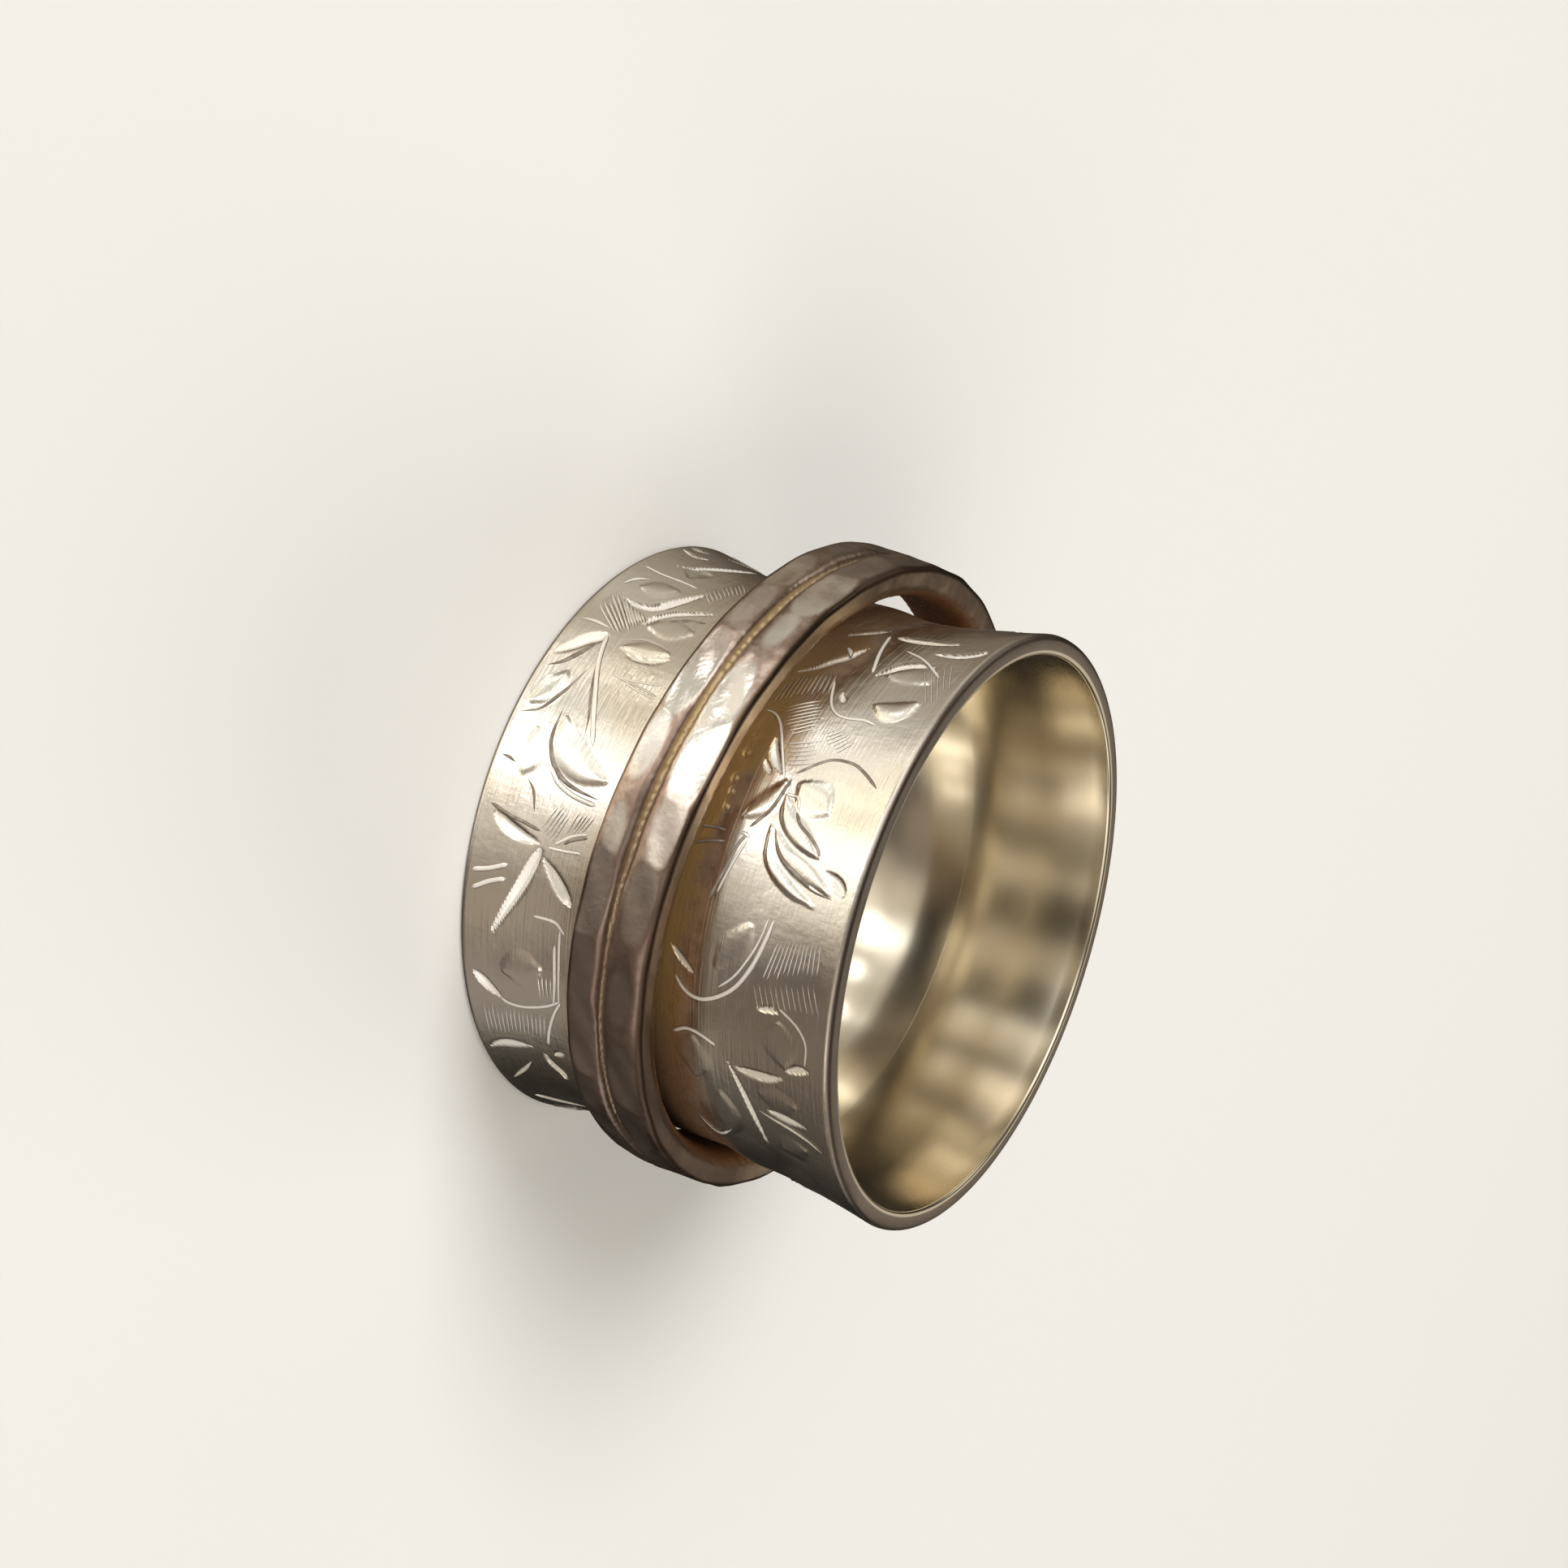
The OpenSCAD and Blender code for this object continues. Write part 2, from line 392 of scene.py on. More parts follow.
strokes = [
    # upper side, from the top of the photograph down
    ([(-152.1, 9.9), (-144.6, 10.24), (-137.2, 10.68)], 0.08, "line"),
    ([(-154.7, 9.65), (-151.5, 9.09), (-148.4, 8.57)], 0.17, "leaf"),
    ([(-152.4, 12.5), (-152.1, 11.6), (-152.1, 10.9), (-152.2, 10.2)], 0.27, "petal"),
    ([(-149.3, 13.7), (-147.8, 13.4), (-146.7, 12.9), (-146.5, 12)], 0.2, "root"),
    ([(-146.6, 11), (-143.8, 11.9), (-138.2, 13)], 0.06, "line", 0.1),
    ([(-141.3, 12.6), (-141.7, 11.9), (-140, 11.35), (-136.6, 10.9)], 0.25, "leaf"),
    ([(-145.4, 9.8), (-141, 9.48), (-138.4, 9.1), (-135.9, 8.75), (-133.7, 8.15)], 0.19, "leaf"),
    ([(-143.8, 9.1), (-142.4, 9.35), (-141, 9.5)], 0.11, "leaf", 0.3),
    ([(-123.8, 12.1), (-124.5, 11.6), (-124.3, 11), (-125, 10.5), (-127.5, 10.1),
      (-133, 9.7)], 0.06, "line", 0.1),
    ([(-130.2, 10.3), (-128, 10.5)], 0.12, "petal"),
    ([(-122.8, 8.13), (-121.8, 8.59), (-119.1, 9.03), (-112.4, 9.7), (-109.2, 10.01)], 0.06, "line", 0.2),
    ([(-116.8, 9.05), (-113, 9.35), (-110, 9.85)], 0.19, "leaf"),
    ([(-112.2, 9.05), (-110.8, 9.25), (-109.3, 9.5)], 0.12, "leaf"),
    ([(-109.5, 10.27), (-106, 10.2), (-103, 10.05), (-100.8, 9.8), (-98.7, 9.54)], 0.06, "line", 0.8),
    ([(-110.6, 10.3), (-114.6, 11.2), (-115, 12), (-113.7, 12.6), (-111.1, 13.3)], 0.055, "line", 0.7),
    ([(-106.4, 10.3), (-106.2, 10.8), (-104, 11)], 0.06, "line", 0.2),
    ([(-103.6, 10.95), (-101.5, 11.25), (-99.8, 11.75), (-98, 12.15), (-96.5, 12.3)], 0.06, "line", 0.7),
    ([(-99.6, 10.45), (-97, 10.7), (-94.6, 11.1), (-92.6, 11.8), (-91, 12.5),
      (-90.4, 13.2)], 0.1, "leaf", 0.8),
    ([(-93.8, 11.4), (-92, 12), (-91, 12.6), (-90.6, 13)], 0.07, "leaf"),
    ([(-94.9, 12.7), (-93.3, 13.2), (-91.5, 13.6)], 0.23, "petal"),
    ([(-97.6, 9.55), (-95, 9.35), (-91, 9.2), (-87, 9), (-84, 8.85)], 0.06, "line", 0.6),
    ([(-96.3, 9.6), (-91, 9.35), (-85.5, 9.1)], 0.05, "line", 0.1),
    ([(-96.8, 9.7), (-97.3, 9.45), (-97.2, 9.25)], 0.08, "leaf"),
    ([(-97, 8.75), (-97, 8.3), (-96.6, 7.8)], 0.05, "line", 0.6),
    ([(-95, 8.85), (-94.2, 8.2), (-93.2, 7.75)], 0.05, "line", 0.6),
    ([(-84, 11.35), (-80, 11.2), (-75, 10.9), (-70, 10.4), (-66.8, 9.8), (-65, 9.2), (-64.7, 8.7),
      (-65.5, 8.3), (-67.5, 7.95)], 0.09, "line"),
    ([(-84, 11.15), (-80, 11), (-76, 10.72), (-71.5, 10.25), (-68.3, 9.7)], 0.05, "line"),
    ([(-69, 8.77), (-71.3, 8.1), (-73.6, 7.65)], 0.13, "leaf"),
    ([(-68.2, 12.1), (-67.8, 11.6), (-66.8, 11.2)], 0.13, "leaf"),
    ([(-68.9, 12.05), (-66.9, 12.8), (-64.2, 13.2), (-59.8, 13.2)], 0.05, "line", 0.3),
    ([(-59.4, 13.4), (-58.4, 12.9), (-57, 12.4)], 0.17, "leaf"),
    ([(-55.2, 12.35), (-53.6, 11.7), (-52.8, 11), (-52.6, 10.3)], 0.2, "leaf"),
    ([(-45.8, 13.1), (-45.3, 12.3), (-45.2, 11.4)], 0.16, "leaf"),
    ([(-41, 13.6), (-42.4, 13.1), (-43.2, 12.4), (-43.5, 11.8), (-44, 11.15)], 0.09, "leaf"),
    ([(-54, 10.05), (-46.4, 10.64), (-38, 11), (-32.5, 11.1)], 0.12, "leaf"),
    ([(-56, 9.65), (-57.2, 9.1), (-57.1, 8.5), (-54.9, 7.9)], 0.08, "line"),
    ([(-33.5, 9.66), (-29.5, 9.1), (-28.4, 8.6), (-31, 8.17)], 0.08, "leaf"),
    ([(-39.4, 6.96), (-35.6, 7.17), (-31.5, 7.45)], 0.12, "leaf"),
    # lower side
    ([(-176, 2.4), (-170, 2.4), (-164.9, 2.2), (-157.9, 1.67), (-154.9, 1.13)], 0.13, "leaf"),
    ([(-169.6, 0.8), (-168.4, 0.5), (-166.8, 0.3)], 0.2, "petal"),
    ([(-165.4, 1.3), (-163.3, 0.9), (-163.8, 0.35)], 0.12, "leaf"),
    ([(-149.5, 3.1), (-145.8, 2.85), (-142.5, 2.57), (-138.7, 2.16), (-137.7, 1.57),
      (-138.5, 0.9)], 0.2, "leaf"),
    ([(-143.3, 4.1), (-141.1, 3.4), (-138.8, 2.85), (-135.4, 2.45), (-132, 2.26)], 0.15, "leaf"),
    ([(-139.6, 4.1), (-138.6, 3.5), (-136.6, 3)], 0.08, "leaf", 0.9),
    ([(-150, 2.6), (-150, 1.9), (-149.6, 1.2), (-149.8, 0.5)], 0.05, "line", 0.1),
    ([(-146.4, 1.1), (-144.5, 0.75), (-141.9, 0.56)], 0.07, "leaf"),
    ([(-129.6, 1.5), (-129.9, 0.9), (-129.4, 0.4)], 0.08, "leaf"),
    ([(-127.3, 4.1), (-125.5, 3.57), (-124.9, 2.95), (-125.4, 2.4)], 0.12, "leaf"),
    ([(-129, 3.9), (-129.9, 3.3), (-129.8, 2.75), (-128, 2.2)], 0.05, "leaf", 0.4),
    ([(-121, 4.35), (-120.5, 3.9), (-120, 3.3), (-119.9, 2.6)], 0.05, "line"),
    ([(-118.3, 4.4), (-119, 3.8), (-119.5, 3.2), (-119.6, 2.8)], 0.05, "line", 0.3),
    ([(-117.6, 4.4), (-118.3, 3.7), (-119.2, 3.1)], 0.05, "line"),
    ([(-128.3, 1.55), (-124, 1.75), (-120, 2), (-115, 2.4), (-110, 2.78), (-104.8, 3.18)], 0.09, "line"),
    ([(-121, 1.85), (-115, 2.24), (-110, 2.6), (-106.5, 2.75)], 0.05, "leaf", 0.9),
    ([(-127.8, 1.6), (-125.4, 1.1), (-122.5, 0.73), (-119.7, 0.34)], 0.24, "root"),
    ([(-126, 1.5), (-122, 1.15), (-119, 0.8), (-117.2, 0.4)], 0.09, "leaf", 0.9),
    ([(-119, 1.7), (-115, 1.5), (-111.5, 1.25), (-108.6, 0.92), (-107.4, 0.55),
      (-106.9, 0.35)], 0.06, "leaf", 1),
    ([(-110, 1.66), (-105, 1.7), (-102, 1.87), (-99, 2.22), (-97, 2.7), (-96, 3.3),
      (-95.4, 4.1)], 0.09, "leaf", 1),
    ([(-99, 2.08), (-96.4, 2.5), (-95, 3.05), (-94.5, 3.5), (-94.2, 4.05)], 0.09, "line"),
    ([(-98.3, 0.35), (-98.2, 0.6), (-97.6, 0.88)], 0.05, "leaf", 1),
    ([(-95.3, 1.5), (-93.5, 1.8), (-90, 2.02)], 0.05, "leaf", 0.8),
    ([(-88.7, 4.1), (-87.6, 3.6), (-86.2, 3.25), (-85, 3)], 0.06, "line"),
    ([(-88, 4.1), (-86.8, 3.6), (-85.6, 3.3)], 0.05, "line", 0.8),
    ([(-86.8, 2.4), (-87.5, 1.8), (-88.1, 1.2), (-89.3, 0.5)], 0.06, "line", 1),
    ([(-84.6, 2.5), (-85, 1.9), (-86, 1.3), (-88, 0.7)], 0.25, "petal"),
    ([(-84.8, 4), (-84.4, 3.4), (-84.2, 2.8)], 0.06, "line"),
    ([(-82.2, 2.7), (-80.2, 3.05), (-78, 3.4), (-74.6, 3.93)], 0.25, "petal"),
    ([(-83.7, 2.59), (-76.6, 2.18), (-69.2, 1.55), (-64.8, 1.15)], 0.23, "root"),
    ([(-79.2, 1.54), (-77.6, 0.94), (-76.6, 0.33)], 0.09, "line"),
    ([(-76.4, 1.54), (-75.2, 1), (-73.2, 0.4)], 0.09, "line"),
    ([(-68.6, 3.85), (-70.5, 3.45), (-70.7, 2.66)], 0.06, "line"),
    ([(-69.5, 3.67), (-62, 3.66), (-57, 3.62), (-53, 3.58)], 0.045, "line"),
    ([(-66, 3.5), (-58, 3.48), (-52.6, 3.38)], 0.06, "line"),
    ([(-53.6, 3.62), (-51.8, 3.1), (-50.6, 2.5), (-50.2, 2), (-50.6, 1.6), (-51.5, 1.38)], 0.075, "line"),
    ([(-51.2, 1.45), (-53, 1.08), (-55, 0.75), (-56.4, 0.52)], 0.19, "petal"),
    ([(-53.3, 3.62), (-50, 3.32), (-46, 3.05), (-42.5, 2.87), (-41, 2.82)], 0.07, "line"),
    ([(-39.3, 3.3), (-38.3, 2.95)], 0.14, "petal"),
    ([(-38.5, 2.5), (-35, 2.62), (-32, 2.88), (-29.8, 2.9)], 0.15, "petal"),
    ([(-39.4, 2.1), (-39.3, 1.5), (-38.7, 0.9), (-37, 0.4)], 0.19, "leaf"),
    ([(-34, 1.8), (-31, 1.4), (-28.5, 1), (-26, 0.6)], 0.11, "leaf"),
]

swells = [
    ([(-109.2, 10.2), (-104.5, 9.85), (-100, 9.15)], 0.42, 0.085, 0.5),
    ([(-161.5, 8.9), (-156, 8.8), (-151.5, 8.6)], 0.36, 0.05, 0),
    ([(-106.5, 10.35), (-102.5, 10.75), (-99.3, 11.5), (-96.6, 12.3)], 0.4, 0.09, -0.4),
    ([(-99.5, 10.45), (-95.5, 11.1), (-93.2, 12.1), (-91, 13.1)], 0.36, 0.07, 0.4),
    ([(-99.8, 10.3), (-94, 10.65), (-90.2, 11.6), (-88.3, 12.6)], 0.26, 0.08, -0.4),
    ([(-130.5, 13.1), (-127.6, 12.4), (-128.4, 11.6)], 0.46, 0.09, 0),
    ([(-136, 12.9), (-138, 12.1), (-137, 11.2)], 0.55, 0.06, 0),
    ([(-109, 10.6), (-106.5, 11.4), (-104.6, 12.1)], 0.7, 0.07, 0.2),
    ([(-113.6, 8.35), (-112.6, 8.3), (-111.8, 8.3)], 0.16, 0.09, 0),
    ([(-108, 8.3), (-107, 8.32), (-106, 8.3)], 0.15, 0.09, 0),
    ([(-105, 8.38), (-104.4, 8.4), (-103.8, 8.36)], 0.13, 0.08, 0),
    ([(-102, 8.38), (-101.3, 8.42), (-100.6, 8.36)], 0.13, 0.08, 0),
    ([(-146.5, 2.3), (-144.5, 1.7), (-143, 1.1)], 0.52, 0.06, 0.3),
    ([(-135.5, 4.1), (-134.5, 3.3), (-133.5, 2.5)], 0.55, 0.05, 0),
    ([(-117.5, 1.2), (-112.5, 0.9), (-109, 0.45)], 0.46, 0.09, 0.4),
    ([(-109, 1.9), (-104, 2.3), (-100.5, 3.1), (-99, 4.2)], 0.6, 0.09, -0.4),
    ([(-105, 1.2), (-100, 1.4), (-96, 1.2)], 0.45, 0.05, 0),
    ([(-60, 3), (-59, 2.2), (-58, 1.5)], 0.75, 0.05, 0),
    ([(-82, 10.6), (-77, 10.2), (-72, 9.5)], 0.6, 0.05, 0),
    ([(-50, 12.8), (-49, 12), (-49, 11.2)], 0.5, 0.05, 0),
    ([(-45, 9.6), (-38, 9.7), (-31, 9.5)], 0.6, 0.06, 0.3),
    ([(-39, 12.9), (-37, 12.2), (-35, 11.7)], 0.55, 0.05, 0),
    ([(-158, 2.3), (-156, 1.9), (-153, 1.9)], 0.45, -0.05, 0),
    ([(-126.5, 2.3), (-127.8, 3.1), (-128.4, 3.95)], 0.34, 0.07, 0),
    ([(-56.5, 8.7), (-52, 8.7), (-46, 8.7)], 0.75, 0.07, 0),
    ([(-66.5, 12.1), (-62, 12.2), (-57.5, 12.4)], 0.75, 0.05, 0),
]

# A field of hatching: first line from and to, last line from and to, how many lines, strength
hatching = [
    ((-124.1, 8.16), (-132.3, 8.17), (-129, 9.81), (-135.5, 9.57), 12, 0.9),
    ((-123.3, 8.67), (-127.4, 9.82), (-117.5, 9.25), (-121.5, 10.4), 9, 0.85),
    ((-119.5, 10.48), (-122.2, 11.07), (-116, 11.29), (-119.5, 11.75), 7, 0.7),
    ((-115.8, 9.4), (-118.2, 10.6), (-111.8, 9.85), (-113.6, 10.8), 6, 0.6),
    ((-140, 12.3), (-129, 13.4), (-143, 13), (-134, 13.75), 5, 0.6),
    ((-81, 11.7), (-72.5, 11.3), (-83.6, 13.2), (-77, 13.3), 13, 0.65),
    ((-71.6, 11), (-66.8, 11.3), (-75.5, 13.2), (-70.2, 13.6), 13, 0.4),
    ((-150.5, 2.75), (-146, 3.6), (-160, 3.3), (-155, 4), 10, 1),
    ((-134.8, 0.4), (-128.4, 1.89), (-139.6, 0.54), (-130.1, 2.19), 5, 1.1),
    ((-139.2, 0.8), (-130.8, 2.2), (-136.5, 1.87), (-133.8, 2.38), 6, 1.1),
    ((-92.8, 4.17), (-87.8, 3.75), (-93.1, 3.6), (-87.2, 3.3), 5, 0.9),
    ((-92.3, 3.34), (-85.4, 2.91), (-93, 2.85), (-86.9, 2.4), 5, 0.9),
    ((-50, 2.95), (-43, 2.75), (-49.6, 0.7), (-41, 0.62), 16, 0.7),
    ((-58.5, 3.32), (-53.6, 3.3), (-59, 2.85), (-53, 2.9), 4, 0.8),
]


def turned(places, turn):
    return [(angle + turn, height) for angle, height in places]


def between(places, low, high, lowest, highest):
    return all(low < angle < high and lowest < height < highest for angle, height in places)


# a flower and a spray of leaves come again at the bottom and the top of the photograph, where it shows little
again = [(71, (-89, -64, 0, 4.2)), (92, (-104.1, -88, 9.5, 13.7))]
strokes += [(turned(p, turn), *rest) for turn, part in again for p, *rest in strokes if between(p, *part)]
swells += [(turned(p, turn), *rest) for turn, part in again for p, *rest in swells if between(p, *part)]

repeats = (0, 180)  # the pattern comes round twice
allStrokes = [(turned(p, t), *rest) for t in repeats for p, *rest in strokes]
allSwells = [(turned(p, t), *rest) for t in repeats for p, *rest in swells]
allHatching = [(*turned(field[:4], t), *field[4:]) for t in repeats for field in hatching]


def flat(places):  # angle and height to a flat strip, in mm
    return np.array([(math.radians(a) * band["flatRadius"], z) for a, z in places])


def smoothLine(places, step):  # an even run of points on a smooth curve through the given ones
    p = flat(places)
    if len(p) == 2:
        p = np.array([p[0], (p[0] + p[1]) / 2, p[1]])
    ends = np.vstack([2 * p[0] - p[1], p, 2 * p[-1] - p[-2]])
    fine = []
    for i in range(len(p) - 1):
        a, b, c, d = ends[i:i + 4]
        for t in np.linspace(0, 1, band["curveSteps"], endpoint=False):
            fine.append(0.5 * (2 * b + (c - a) * t + (2 * a - 5 * b + 4 * c - d) * t * t
                               + (3 * b - a - 3 * c + d) * t ** 3))
    fine = np.array(fine + [p[-1]])
    run = np.concatenate([[0], np.cumsum(np.linalg.norm(np.diff(fine, axis=0), axis=1))])
    even = np.linspace(0, run[-1], max(band["fewest"], int(run[-1] / step) + 1))
    return np.column_stack([np.interp(even, run, fine[:, i]) for i in range(2)])


# Where each shape of stroke is widest, and a power that is lower for blunter ends
shapes = {"leaf": (0.5, 0.8), "petal": (0.62, 0.5), "root": (0.3, 0.7)}
lineEnd = 0.08  # share of a line that its end takes


def taper(shape, count):  # the share of the half width at so many points along a stroke
    t = np.linspace(0, 1, count)
    if shape == "line":
        return share(np.minimum(t, 1 - t), 0, lineEnd) ** 0.5
    widest, blunt = shapes[shape]
    return np.sin(np.pi * t ** (math.log(0.5) / math.log(widest))) ** blunt


# The band's sheet

cuts = {
    "slope": 0.5,  # depth of a cut as a share of its half width
    "deepest": 0.10,  # mm
    "valley": 0.3,  # how far the valley lies off the middle, towards the steep wall
    "narrowest": 0.115,  # mm: thinner strokes are swept instead
    "finest": 0.02,  # half width of a cut's ends
    "step": 0.06,  # between the points of its line
    "reach": 1.3,  # half widths around the line that are looked at
    "turnOver": (-133, -115),  # degrees: between these the wide wall lies over the valley on the photograph
    "sideways": 0.6,  # how much a stroke round the ring turns its steep wall
    "shadeAt": 0.85,  # where the painted shade on the steep wall lies across a cut, and how wide it fades
    "shadeFade": 0.28,
    "shadeReach": 1.6,
    "shadeFrom": 0.08,  # narrower places get less painted shade
    "brightEnd": 0.7,
    "brightness": 2.2,
}


def wrapAround(x, middle):  # the same places, the way round the ring that is nearest to the middle
    around = 2 * math.pi * band["flatRadius"]
    return (x - middle + around / 2) % around - around / 2 + middle


def acrossLine(x, z, places, halfWidth, shape):  # points near a line, and where they lie across it
    line = smoothLine(places, cuts["step"])
    width = np.maximum(halfWidth * taper(shape, len(line)), cuts["finest"])
    wrapped = wrapAround(x, line[:, 0].mean())
    reach = halfWidth * cuts["reach"]
    low, high = line.min(0) - reach, line.max(0) + reach
    close = np.flatnonzero((wrapped > low[0]) & (wrapped < high[0]) & (z > low[1]) & (z < high[1]))
    offset = np.stack([wrapped[close], z[close]], -1)[:, None] - line[None]
    gap = (offset ** 2).sum(-1)
    near = gap.argmin(1)
    each = np.arange(len(near))
    along = np.gradient(line, axis=0)
    along /= np.linalg.norm(along, axis=1)[:, None]
    side = along[near, 0] * offset[each, near, 1] - along[near, 1] * offset[each, near, 0]
    across = np.where(side < 0, -1, 1) * np.sqrt(gap[each, near]) / width[near]
    return close, across, width[near], along[near]


def swellHeight(x, z):  # how far the broad leaves and petals stand above the sheet at flat places x, z
    height = np.zeros_like(x)
    for places, halfWidth, rise, skew in allSwells:
        close, across, _, _ = acrossLine(x, z, places, halfWidth, "leaf")
        form = np.clip(1 - across * across, 0, 1) * (1 + skew * np.clip(across, -1, 1))
        height[close] += rise * form
    return height


def cutDepth(x, z):  # the bright-cut strokes: a wide wall, a steep wall and a valley, with painted shade along the steep wall
    depth, dark, bright = np.zeros_like(x), np.zeros_like(x), np.zeros_like(x)
    above, below = (math.radians(angle) * band["flatRadius"] for angle in cuts["turnOver"])
    valley = cuts["valley"]
    for places, halfWidth, shape, *_ in allStrokes:
        if halfWidth < cuts["narrowest"]:
            continue
        close, across, width, along = acrossLine(x, z, places, halfWidth, shape)
        middle = flat(places)[:, 0].mean()
        if middle > 0:
            middle -= math.pi * band["flatRadius"]
        upward = 1 if above < middle < below else -1
        left = along[:, 0] * cuts["sideways"] - along[:, 1] * upward
        u = across * np.where(left > 0, 1, -1)  # the steep wall is on the positive side
        form = np.clip(np.minimum((u + 1) / (1 + valley), (1 - u) / (1 - valley)), 0, 1)
        deep = np.minimum(cuts["slope"] * width, cuts["deepest"]) * form
        depth[close] = np.maximum(depth[close], deep)
        # painted shade on the steep wall of each cut
        edge = np.exp(-np.abs(u - cuts["shadeAt"]) / cuts["shadeFade"]) * share(width, 0, cuts["shadeFrom"])
        dark[close] = np.maximum(dark[close], np.where(np.abs(u) < cuts["shadeReach"], edge, 0))
        lit = (cuts["brightEnd"] - u) * (u + 1) * cuts["brightness"]
        bright[close] = np.maximum(bright[close], np.clip(lit, 0, 1))
    return depth, dark, bright


def hatchGround(x, z):  # 1 on the fields of hatching, fading at their edges
    ground = np.zeros_like(x)
    for firstFrom, firstTo, lastFrom, lastTo, _, strength in allHatching:
        corners = flat((firstFrom, firstTo, lastTo, lastFrom))
        middle = corners.mean(0)
        wrapped = wrapAround(x, middle[0])
        inward = np.full_like(x, np.inf)
        for start, end in zip(corners, np.roll(corners, -1, 0)):
            edge = (end - start) / np.linalg.norm(end - start)
            side = edge[0] * (z - start[1]) - edge[1] * (wrapped - start[0])
            facing = edge[0] * (middle[1] - start[1]) - edge[1] * (middle[0] - start[0])
            inward = np.minimum(inward, side * np.sign(facing))
        ground = np.maximum(ground, strength * ease(inward / hatchSizes["fade"] + hatchSizes["spread"]))
    return ground


def closedGrid(name, points, looks, material):  # points go round the ring, and each time round its section
    index = np.arange(points.shape[0] * points.shape[1]).reshape(points.shape[:2])
    right, up = np.roll(index, -1, 0), np.roll(index, -1, 1)
    faces = np.stack([index, right, np.roll(right, -1, 1), up], -1).reshape(-1, 4)
    made = meshObject(name, points.reshape(-1, 3).tolist(), [], faces.tolist(), **looks)
    made.data.shade_smooth()
    made.data.materials.append(material)
    return made


def corner(inset, start, end, count):  # steps out from the wall, and heights, round a rim's corner
    radius = abs(inset)
    return [(inset + radius * math.cos(math.radians(a)), radius + radius * math.sin(math.radians(a)))
            for a in np.linspace(start, end, count)]


def bandSection(low, high, outerRows, innerRows):
    # each row: 1 for the inner wall, the height that gives its radius, a step out from there, its own height
    width = band["width"]

    def heights(inset, count):  # up a wall from corner to corner, with a row close to where two parts meet
        up = np.linspace(low or inset, min(high, width - inset), count)
        up = up if low == 0 else np.insert(up, 1, low + band["seam"])
        return up if high == width else np.insert(up, -1, high - band["seam"])

    start, flatRim, end = band["rimAngles"]
    inner, outer = band["rimBreak"], band["rimRound"]
    innerPoints, outerPoints = band["rimPoints"]
    lowerRim = [(1, inner, *step) for step in corner(inner, start, flatRim, innerPoints)]
    lowerRim += [(0, outer, *step) for step in corner(-outer, flatRim, end, outerPoints)]
    upperRim = [(wall, width - base, step, width - z) for wall, base, step, z in reversed(lowerRim)]
    rows = [(0, z, 0, z) for z in heights(outer, outerRows)]
    rows += upperRim if high == width else []
    rows += [(1, z, 0, z) for z in reversed(heights(inner, innerRows))]
    rows += lowerRim if low == 0 else []
    return np.array(rows)


def makeBandPart(name, low, high, rows, material):
    section = bandSection(low, high, *rows)
    angle = np.linspace(0, 2 * math.pi, band["columns"], endpoint=False)
    a, j = np.meshgrid(angle, np.arange(len(section)), indexing="ij")
    inside, base, step, z = (section[j, k] for k in range(4))
    r = np.where(inside == 1, innerRadius(base, a), outerRadius(base, a)) + step
    keep = share(fromRim(z), *band["patternEdge"]) * ((inside == 0) & (step == 0))
    keep = keep * share(np.abs(z - band["width"] / 2), *band["plainMiddle"])
    relief, dark, bright = np.zeros_like(z), np.zeros_like(z), np.zeros_like(z)
    drawn = keep > 0
    if drawn.any():
        x, height = a[drawn] * band["flatRadius"], z[drawn]
        depth, dark[drawn], bright[drawn] = cutDepth(x, height)
        # the hatched ground joins the feet's darkness: partly patina, partly painted shade
        dark[drawn] = np.maximum(dark[drawn], hatchSizes["ground"] * hatchGround(x, height))
        relief[drawn] = swellHeight(x, height) - depth
    r = r + relief * keep + wander(z, a) * np.where(inside == 1, band["insideWave"], 1)
    points = np.stack([r * np.cos(a), r * np.sin(a), z], -1) * mm
    return closedGrid(name, points, {"inside": inside, "foot": dark * keep, "crest": bright * keep}, material)


def makeBand(material):
    edge, width = band["trackEdge"], band["width"]
    return [makeBandPart("lowerFlange", 0, edge, band["flangeRows"], material),
            makeBandPart("trackMiddle", edge, width - edge, band["middleRows"], material),
            makeBandPart("upperFlange", width - edge, width, band["flangeRows"], material)]


# The strokes and the hatching: curves on the flat strip, swept with a small section and wrapped on the band

threads = {
    "rise": 0.095 * mm,  # of the broadest thread
    "clean": 1.0,  # how free of tarnish its crest is
    "softWidth": 0.06 * mm,  # narrower ones stand lower
    "sink": 0.05 * mm,
    "crown": 1.6,
    "shoulder": 0.9,
    "sides": 10,
    "step": 0.10,  # mm between the points of a line
}
hatchSizes = {
    "halfWidth": 0.055,  # mm
    "ground": 0.3,  # how dark the sheet is between the lines: partly patina, partly painted shade
    "fade": 0.3,  # mm: how softly that ends, and how far it spreads
    "spread": 0.4,
    "rise": 0.10 * mm,
    "clean": 0.35,
    "softWidth": 0.05 * mm,
    "sink": 0.04 * mm,
    "crown": 1.2,
    "shoulder": 1.0,
    "sides": 8,
    "closer": 0.95,  # share of the table's numbers of lines that is drawn
    "unevenness": 0.15,
    "bow": 0.1,
    "step": 0.25,
    "seed": 7,
}
sectionSizes = {
    "footSteep": 4,  # how steeply a thread's sides go down into the sheet
    "footFade": 1.6,  # how fast the darkness at its foot, partly patina and partly painted shade, fades on the way up
    "crestRise": 1.5,  # and how fast its brightness comes
    "domeFrom": 0.001,  # points of the section above this are on the dome
    "thinnest": 1e-6,  # metres: no half width is taken to be less
}

# The inputs of the sweep's tree have the names of the sizes that they take
threadInputs = ("rise", "clean", "softWidth", "sink", "crown", "shoulder")
lengthInputs = ("flatRadius", "width", "flareRise", "flareRun", "trackDip", "outerStart", "outerEnd",
                "humpTrack", "humpRim", "humpReach")
plainInputs = ("flareBend", "humpFocus")


